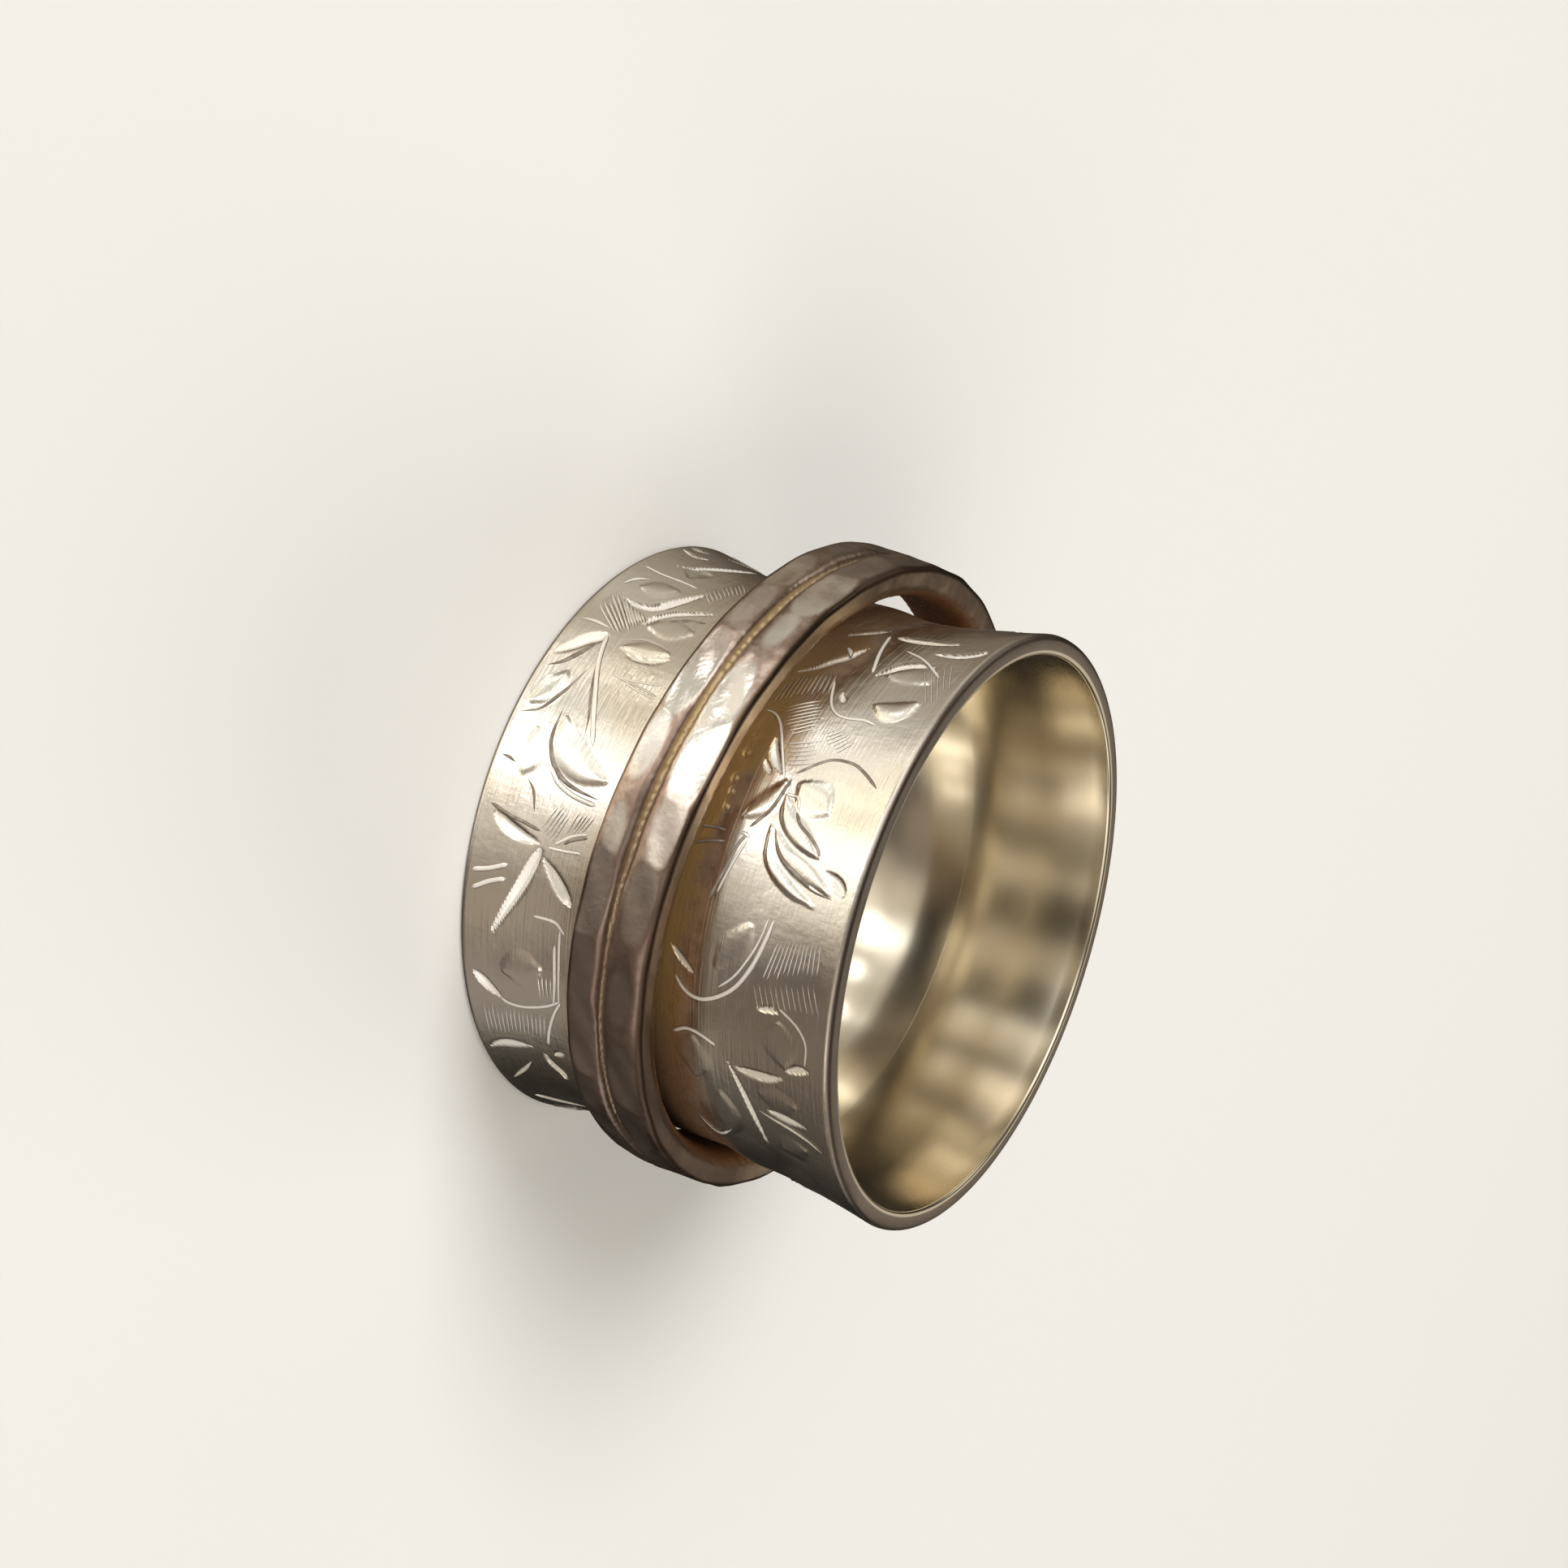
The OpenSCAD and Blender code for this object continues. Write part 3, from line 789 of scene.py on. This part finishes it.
def sheetRadius(height, angle, size):  # the outside of the sheet at a height and an angle, in nodes
    away = smaller(height, size["width"] - height)
    slope = ramp(away, size["outerStart"], size["outerEnd"])
    flare = larger(1 - away / size["flareRun"], 0) ** size["flareBend"]
    hump = larger(calc("COSINE", angle) * -1, 0) ** size["humpFocus"]
    low = clamped(1 - height / size["humpReach"])
    dip = size["trackDip"] - hump * size["humpTrack"]
    r = size["plainRadius"] + flare * size["flareRise"] + hump * low * size["humpRim"]
    return r - dip * slope


def makeSweepTree():
    tree = bpy.data.node_groups.new("Raised Strokes", "GeometryNodeTree")
    kinds = {"strokes": "Geometry", "sides": "Int", "material": "Material"}
    for name in ("strokes", *threadInputs, "plainRadius", *lengthInputs, *plainInputs, "sides", "material"):
        kind = "NodeSocket" + kinds.get(name, "Float")
        tree.interface.new_socket(name=name, in_out="INPUT", socket_type=kind)
    tree.interface.new_socket(name="Geometry", in_out="OUTPUT", socket_type="NodeSocketGeometry")
    size = {socket.name: Value(socket) for socket in tree.nodes.new("NodeGroupInput").outputs}

    def add(kind, inputs=None, **settings):
        return output(tree, "GeometryNode" + kind, inputs, **settings)

    def named(key):
        return add("InputNamedAttribute", {"Name": key}, data_type="FLOAT")

    def joined(x, y, z):
        return output(tree, "ShaderNodeCombineXYZ", {0: x, 1: y, 2: z})

    # the section: a dome above the sheet, and a flat foot in it
    x, y, _ = parts(add("InputPosition"))
    dome = clamped(1 - abs(x) ** size["crown"]) ** size["shoulder"]
    under = larger(y * sectionSizes["footSteep"], -1)
    shaped = mixed(calc("GREATER_THAN", y, sectionSizes["domeFrom"]), under, dome)
    circle = add("CurvePrimitiveCircle", {"Resolution": size["sides"], "Radius": 1})
    section = add("SetPosition", {"Geometry": circle, "Position": joined(x, shaped * -1, 0)})

    curve = add("MeshToCurve", {"Mesh": size["strokes"]})
    curve = add("SetCurveNormal", {"Curve": curve}, mode="Z_UP")
    halfWidth = named("halfWidth")
    swept = add("CurveToMesh",
                {"Curve": curve, "Profile Curve": section, "Scale": halfWidth, "Fill Caps": True})
    swept = add("FlipFaces", {"Mesh": swept})

    # the strip is wrapped on the band, and each thread gets its height
    x, y, z = parts(add("InputPosition"))
    level = z / larger(halfWidth, sectionSizes["thinnest"])
    up, down = larger(level, 0), smaller(level, 0)
    rise = size["rise"] * halfWidth / (halfWidth + size["softWidth"])
    lift = up * rise + down * size["sink"]
    # the dark foot of a thread: partly patina in the hollow, partly painted shade
    foot = larger(named("dark"), clamped(1 - up * sectionSizes["footFade"]))
    crest = clamped(up * sectionSizes["crestRise"]) * size["clean"]
    for name, value in (("foot", foot), ("crest", crest)):
        swept = add("StoreNamedAttribute", {"Geometry": swept, "Name": name, "Value": value},
                    data_type="FLOAT", domain="POINT")
    angle = x / size["flatRadius"]
    r = sheetRadius(y, angle, size) + named("bed") + lift
    wrapped = joined(r * calc("COSINE", angle), r * calc("SINE", angle), y)
    swept = add("SetPosition", {"Geometry": swept, "Position": wrapped})
    swept = add("SetShadeSmooth", {"Geometry": swept})
    swept = add("RealizeInstances", {"Geometry": swept})
    swept = add("SetMaterial", {"Geometry": swept, "Material": size["material"]})
    addNode(tree, "NodeGroupOutput", {"Geometry": swept})
    return tree


def guideObject(name, lines):  # each line: flat points in mm, half widths in mm, darkness
    points, edges, halfWidths, darks = [], [], [], []
    for line, widths, dark in lines:
        edges += [(len(points) + i, len(points) + i + 1) for i in range(len(line) - 1)]
        points += [(x * mm, z * mm, 0) for x, z in line]
        halfWidths += [max(w, band["finest"]) * mm for w in widths]
        darks += [dark] * len(line)
    x, z = np.concatenate([line for line, _, _ in lines]).T
    beds = (swellHeight(x, z) + wander(z, x / band["flatRadius"])) * mm
    return meshObject(name, points, edges, [], halfWidth=halfWidths, dark=darks, bed=beds)


def sweep(guide, tree, sizes, material):
    modifier = guide.modifiers.new("sweep", "NODES")
    modifier.node_group = tree
    values = {"sides": sizes["sides"], "material": material}
    values.update({key: sizes[key] for key in threadInputs})
    values.update({key: band[key] * mm for key in lengthInputs})
    values.update({key: band[key] for key in plainInputs})
    values["plainRadius"] = (band["fingerRadius"] + band["stepIn"] + band["sheet"]) * mm
    for item in tree.interface.items_tree:
        if item.name in values:
            modifier[item.identifier] = values[item.name]
    bpy.context.view_layer.update()
    seen = guide.evaluated_get(bpy.context.evaluated_depsgraph_get())
    plain = bpy.data.meshes.new_from_object(seen)
    guide.modifiers.remove(modifier)
    guide.data = plain
    for key in ("halfWidth", "dark", "bed"):
        plain.attributes.remove(plain.attributes[key])
    return guide


def makeThreads(tree, material):
    lines = []
    for places, halfWidth, shape, *dark in allStrokes:
        if halfWidth < cuts["narrowest"]:
            line = smoothLine(places, threads["step"])
            widths = halfWidth * taper(shape, len(line))
            lines.append((line, widths, dark[0] if dark else 0))
    return sweep(guideObject("bandThreads", lines), tree, threads, material)


def makeHatching(tree, material):
    chance = np.random.default_rng(hatchSizes["seed"])
    lines = []
    for firstFrom, firstTo, lastFrom, lastTo, count, strength in allHatching:
        first, last = np.array([firstFrom, firstTo]), np.array([lastFrom, lastTo])
        for t in np.linspace(0, 1, round(count * hatchSizes["closer"])):
            wobble = chance.uniform(-1, 1, 4) * hatchSizes["unevenness"]
            start, end = first + (last - first) * t
            run = end - start
            start, end = start + run * abs(wobble[0]), end - run * abs(wobble[1])
            middle = (start + end) / 2 + (0, hatchSizes["bow"] * wobble[2])
            line = smoothLine([start, middle, end], hatchSizes["step"])
            widest = strength * hatchSizes["halfWidth"] * (1 + wobble[3])
            lines.append((line, widest * taper("line", len(line)), 0))
    return sweep(guideObject("bandHatching", lines), tree, hatchSizes, material)


# The loose ring: two hammered ribs with a groove between them

spinner = {
    "innerRadius": 10.1,
    "boreRound": 0.65,
    "boreFlat": 1.2,
    "width": 3.0,
    "crest": 11.45,
    "groove": 11.08,
    "grooveWidth": 0.2,
    "grooveOffset": 0.15,
    "roundness": 2.3,
    "flats": 28,
    "flatDepth": 0.13,
    "height": 6.85,
    "slide": 0.42,
    "lean": 5.3,
    "grain": 0.024,
    "bead": 0.02,
    "beads": 190,  # round the groove, and how they drift: times round, strength, with the height
    "beadDrift": (23, 2.5, 5),
    "wave": 0.01,
    "waves": [(17, 3, 0), (31, -5, 1)],  # times round, with the height, phase
    "spacing": (0.8, 1.2),  # of the hammer marks
    "ribTurn": 0.11,  # radians between the marks of the two ribs
    "markReach": 0.4,  # radians
    "leastCosine": 0.3,  # that a mark's plane is divided by
    "ribSlack": 0.01,  # mm that a rib's rows may lie past its edges
    "depths": (0.4, 1.3),  # as shares of the flat depth
    "tilt": 0.10,
    "slew": 0.02,
    "worn": 0.012,  # the marks' edges are worn round
    "polish": 0.03,  # depth at which a mark is fully polished
    "grooveDepth": 0.26,  # that the groove's tarnish reaches up
    "grooveReach": 0.9,
    "boreGrain": 0.3,  # that the bore's grains reach in from its edges
    "flankEdge": (0.16, 0.08),  # how far from the side the flank's look starts, and how fast it comes
    # painted shade along the sides of the ribs
    "edgeShade": (0.20, 0.06),
    "darkAbove": 0.03,  # mm over the groove's floor, which keeps the foot of a rib plain
    "boreEdge": (0.16, 0.15),
    "sideRows": 0.15,  # all of the inside's points this near to a side look like the flank
    "flankRows": (0.12, 0.28),  # below the groove's floor
    "ribPoints": 19,
    "borePoints": 9,
    "columns": 1000,
    "seed": 11,
}


def spinnerSection():  # once round the section: radius, height, and 0 outside, 1 on the flank or 2 inside
    side = spinner["width"] / 2
    off, gap = spinner["grooveOffset"], spinner["grooveWidth"] / 2
    ribs = [((-side - off - gap) / 2, (side - off - gap) / 2),
            ((side - off + gap) / 2, (side + off - gap) / 2)]
    power, floor = spinner["roundness"], spinner["groove"]
    outer = []
    for middle, half in ribs:
        for s in np.sin(np.linspace(-math.pi / 2, math.pi / 2, spinner["ribPoints"])):
            rise = (spinner["crest"] - floor) * (1 - abs(s) ** power) ** (1 / power)
            outer.append((floor + rise, middle + s * half, 0))
    halfFlat = spinner["boreFlat"] / 2
    rounding = [(spinner["innerRadius"] + spinner["boreRound"] * (1 - math.cos(t)),
                 halfFlat + (side - halfFlat) * math.sin(t), 2)
                for t in np.linspace(math.pi / 2, 0, spinner["borePoints"])]
    flank = [(floor - down, side, 1) for down in spinner["flankRows"]]
    upper = flank + rounding
    lower = [(r, -z, kind) for r, z, kind in reversed(upper)]
    return np.array(outer + upper + [(spinner["innerRadius"], 0, 2)] + lower), ribs


def makeSpinner(material):
    chance = np.random.default_rng(spinner["seed"])
    section, ribs = spinnerSection()
    angle = np.linspace(0, 2 * math.pi, spinner["columns"], endpoint=False)
    a, j = np.meshgrid(angle, np.arange(len(section)), indexing="ij")
    radius, z, kind = (section[j, k] for k in range(3))
    outer, inner = kind == 0, kind == 2
    r, mark = radius, np.zeros_like(radius)
    worn = spinner["worn"]
    for number, (middle, half) in enumerate(ribs):  # each hammer mark is a plane that cuts the rib
        turn = np.cumsum(chance.uniform(*spinner["spacing"], spinner["flats"]))
        cut = np.full_like(r, np.inf)
        for centre in turn / turn[-1] * 2 * math.pi + spinner["ribTurn"] * number:
            depth = spinner["crest"] - spinner["flatDepth"] * chance.uniform(*spinner["depths"])
            tilt, slew = (chance.uniform(-spinner[key], spinner[key]) for key in ("tilt", "slew"))
            away = (a - centre + math.pi) % (2 * math.pi) - math.pi
            plane = (depth + tilt * (z - middle)) / np.maximum(np.cos(away + slew), spinner["leastCosine"])
            cut = np.where(np.abs(away) < spinner["markReach"], np.minimum(cut, plane), cut)
        mine = (np.abs(z - middle) < half + spinner["ribSlack"]) & outer
        mark = np.where(mine, share(r - cut, worn, spinner["polish"]), mark)
        r = np.where(mine, np.minimum(r, cut) - worn * np.exp(-np.abs(r - cut) / worn), r)
    waves = sum(np.sin(times * a + rise * z + phase) for times, rise, phase in spinner["waves"])
    r = r + spinner["wave"] * waves * outer
    height, floor = np.abs(z), spinner["groove"]
    groove = (1 - share(radius, floor, spinner["grooveDepth"])) * outer * (height < spinner["grooveReach"])
    grain = chance.uniform(-1, 1, r.shape)  # grains in the groove and at the edges of the inside
    grain = (grain + np.roll(grain, 1, 0) + np.roll(grain, 1, 1) + np.roll(grain, -1, 0)) / 2
    boreEdge = inner * share(radius, spinner["innerRadius"], spinner["boreGrain"])
    r = r + spinner["grain"] * grain * np.maximum(groove, boreEdge)
    times, strength, rise = spinner["beadDrift"]
    r = r + groove * spinner["bead"] * np.sin(spinner["beads"] * a + strength * np.sin(times * a) + rise * z)

    def fromSide(key):  # 1 at the sides of the ring
        start, run = spinner[key]
        return share(height, spinner["width"] / 2 - start, run)

    looks = {
        "groove": groove,
        "flank": np.where(outer, fromSide("flankEdge"), height > spinner["width"] / 2 - spinner["sideRows"]),
        # painted shade along the sides of the ribs
        "edge": outer * fromSide("edgeShade") * (radius > floor + spinner["darkAbove"]),
        # the bore: tarnished, and darkened with painted shade
        "inside": inner * (1 - fromSide("boreEdge")),
        "mark": mark,
    }
    x, lean = r * np.cos(a), math.radians(spinner["lean"])
    points = np.stack([x * math.cos(lean) + z * math.sin(lean) - spinner["slide"], r * np.sin(a),
                       z * math.cos(lean) - x * math.sin(lean) + spinner["height"]], -1) * mm
    return closedGrid("spinnerRing", points, looks, material)


# Finishes

# A name that ends in Where holds what goes into ramp: two limits, and what it gives at each if not 0 and 1
silverLook = {
    "bright": (0.90, 0.875, 0.83),
    "warm": (0.80, 0.73, 0.62),
    "stain": (0.66, 0.52, 0.36),
    "tarnish": (0.58, 0.38, 0.13),
    "deepTarnish": (0.31, 0.18, 0.09),  # at the top and the bottom of the photograph
    # the darkness of the strokes' feet: partly patina, partly painted shade
    "dark": (0.16, 0.12, 0.09),
    "inside": (0.85, 0.79, 0.67),
    # painted shade along the rims
    "rim": (0.17, 0.13, 0.11),
    "textures": [  # scale, detail, roughness, stretch and shift
        (420, 4, 0.6),  # patches
        (170, 3, 0.5, (1, 1, 1), (3, 1, 2)),  # clouds
        (2600, 2, 0.6),  # specks
        (260, 3, 0.6, (1, 1, 40)),  # lines round the ring
        (300, 3, 0.6, (16, 16, 1), (1, 2, 3)),  # lines along its axis
    ],
    "stainWhere": (1.7 * mm, 3.1 * mm, 0.36, 0),  # from the middle of the loose ring where it lies
    "tarnishWhere": (1.25 * mm, 2.35 * mm, 0.92, 0),
    "frayed": (2.4 * mm, 0.8 * mm),  # how far patches and specks move their edges
    "deepMiddle": -1 * mm,
    "deepWhere": (3.5 * mm, 9 * mm),
    "wider": 0.3 * mm,  # and the tarnish reaches further there
    "warmWhere": (0.40, 0.66),
    "footShadeWhere": (0.15, 0.75),
    "speckWhere": (0.3, 0.6, 0.75, 0.95),
    "rimShadeWhere": (0.20 * mm, 0.04 * mm, 0, 0.9),  # from a rim: painted shade along the rims
    "outsideWhere": (0.97, 0.80),
    "cleanCrest": 0.9,  # how little a crest shows of stains and scratches
    "roughWhere": (0.3, 0.7, 0.14, 0.28),
    "rougher": (0.2, 0.25, 0.08),  # at the rim, in the strokes and on the tarnish
    "smoothCrest": 0.4,
    "insideRough": 0.16,
    "lessMetal": (0.65, 0.3),  # on the crests and the tarnish
    "linesWhere": (0.35, 0.6, 0.3, 1),
    # depths of the lines round the ring, the lines along its axis, the specks, the patches and the tarnish
    "bumps": (0.018 * mm, 0.004 * mm, 0.008 * mm, 0.03 * mm, 0.02 * mm),
    "smoothInside": 0.975,
}
spinnerLook = {
    "bright": (0.86, 0.83, 0.79),
    "warm": (0.56, 0.46, 0.40),
    "dull": (0.36, 0.26, 0.22),
    "brown": (0.25, 0.18, 0.15),
    "gold": (0.52, 0.40, 0.24),
    # painted shade along the sides of the ribs
    "edge": (0.12, 0.08, 0.06),
    "flank": (0.50, 0.38, 0.26),
    # the flank on its dull side, darkened with painted shade
    "dullShadedFlank": (0.17, 0.12, 0.09),
    # the bore's tarnish, darkened with painted shade
    "bore": (0.30, 0.15, 0.07),
    "textures": [(520, 4, 0.6), (200, 3, 0.5, (1, 1, 1), (5, 1, 2)), (2400, 2, 0.6)],
    "dullSide": (0.82, -0.57, 0),  # the side that is least polished
    "uneven": 4 * mm,
    "dullWhere": (5 * mm, 11 * mm),
    "topWhere": (10.8 * mm, 13.2 * mm),  # dull again at the top of the photograph
    "polishWhere": (0.64, 0.46, 0.3, 1),
    "mottleWhere": (0.38, 0.60),
    "goldWhere": (0.55, 1),
    "specked": 0.5,
    "patchy": 0.5,
    "browned": 0.8,  # by dullness, which also takes away shares of polish and of gold
    "lessPolish": 0.85,
    "lessGold": 0.7,
    "roughWhere": (0.3, 0.7, 0.20, 0.34),
    "rougher": (-0.12, 0.10, 0.12),  # where it is polished, dull or golden
    "lessMetal": 0.5,  # inside, and a share of that in the groove
    "goldShare": 0.6,
    "bumps": (0.010 * mm, 0.03 * mm),  # specks and patches
}


def newMetal(name, look):
    material, shader = newMaterial(name)
    place = output(material.node_tree, "ShaderNodeTexCoord", which="Object")
    return material, shader, place, [noise(place, *texture) for texture in look["textures"]]


def attributes(tree, *keys):
    return [output(tree, "ShaderNodeAttribute", which="Fac", attribute_name=key) for key in keys]


def weighted(values, weights):
    return sum(value * weight for value, weight in zip(values, weights))


def finish(shader, colour, rough, metal, height):
    bump = output(height.tree, "ShaderNodeBump", {"Strength": 1, "Distance": 1, "Height": height})
    fill(shader, {"Base Color": colour, "Roughness": rough, "Metallic": metal, "Normal": bump})


def makeBandSilver():
    look = silverLook
    material, shader, place, textures = newMetal("bandSilver", look)
    patches, clouds, specks, ringLines, crossLines = textures
    inside, foot, crest = attributes(place.tree, "inside", "foot", "crest")
    x, _, z = parts(place)
    clean = 1 - crest * look["cleanCrest"]

    # tarnish beside the loose ring; darkness at the feet of the strokes and on the hatched ground, partly
    # patina and partly painted shade; and painted shade along the rims
    leaning = x * math.tan(math.radians(spinner["lean"])) + z
    deep = ramp(abs(x - look["deepMiddle"]), *look["deepWhere"])
    edge = abs(leaning - spinner["height"] * mm) - deep * look["wider"]
    edge = edge + weighted((patches - 0.5, specks - 0.5), look["frayed"])
    outside = (1 - inside) * clean
    stain = ramp(edge, *look["stainWhere"]) * outside
    track = ramp(edge, *look["tarnishWhere"]) * outside
    # partly patina, partly painted shade, at the strokes' feet and on the hatched ground
    shade = ramp(foot, *look["footShadeWhere"]) * ramp(specks, *look["speckWhere"])
    middle = band["width"] / 2 * mm
    # painted shade along the rims, on the outside
    rim = ramp(middle - abs(z - middle), *look["rimShadeWhere"]) * ramp(inside, *look["outsideWhere"])

    warm = ramp(clouds, *look["warmWhere"])
    brown = mixColour(deep, look["tarnish"], look["deepTarnish"])
    colour = covered(look["bright"], look, ((warm, "warm"), (inside, "inside"), (stain, "stain"),
                                            (track, brown), (shade, "dark"), (rim, "rim")))
    rough = ramp(patches, *look["roughWhere"]) + weighted((rim, shade, track), look["rougher"])
    rough = rough * (1 - (1 - clean) * look["smoothCrest"])
    rough = mixed(inside, rough, look["insideRough"])
    metal = 1 - weighted((crest, track), look["lessMetal"])
    lines = ringLines * ramp(clouds, *look["linesWhere"])
    height = weighted((lines, crossLines, specks, patches, track * specks), look["bumps"])
    height = height * clean * (1 - inside * look["smoothInside"])
    finish(shader, colour, rough, metal, height)
    return material


def makeSpinnerSilver():
    look = spinnerLook
    material, shader, place, (patches, clouds, specks) = newMetal("spinnerSilver", look)
    groove, flank, edge, inside, mark = attributes(place.tree, "groove", "flank", "edge", "inside", "mark")
    uneven = patches * look["uneven"]
    dull = ramp(uneven + dot(place, look["dullSide"]), *look["dullWhere"])
    dull = larger(dull, ramp(uneven - parts(place)[0], *look["topWhere"]))
    polished = mark * ramp(clouds, *look["polishWhere"]) * (1 - dull * look["lessPolish"])
    gold = ramp(groove + patches * look["patchy"], *look["goldWhere"]) * (1 - dull * look["lessGold"])

    mottle = ramp((specks - 0.5) * look["specked"] + patches, *look["mottleWhere"])
    # the dull flank's colour holds painted shade
    side = mixColour(dull, look["flank"], look["dullShadedFlank"])
    colour = covered(look["warm"], look, ((mottle, "dull"), (dull * look["browned"], "brown"),
                                          (polished, "bright"), (flank, side), (edge, "edge"),
                                          (inside, "bore"), (gold, "gold")))
    rough = ramp(patches, *look["roughWhere"]) + weighted((polished, dull, gold), look["rougher"])
    metal = 1 - larger(inside, gold * look["goldShare"]) * look["lessMetal"]
    finish(shader, colour, rough, metal, weighted((specks, patches), look["bumps"]))
    return material


bandSilver = makeBandSilver()
spinnerSilver = makeSpinnerSilver()
print("finishes made")

sweepTree = makeSweepTree()
bandParts = makeBand(bandSilver)
print("band sheet made")
bandThreads = makeThreads(sweepTree, bandSilver)
print("threads made")
bandHatching = makeHatching(sweepTree, bandSilver)
print("hatching made")
spinnerRing = makeSpinner(spinnerSilver)
print("loose ring made")

for piece in (*bandParts, bandThreads, bandHatching):
    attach(piece, "band")
for piece in bandParts:
    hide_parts("band")
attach(spinnerRing, "spinner")
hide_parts("spinner")
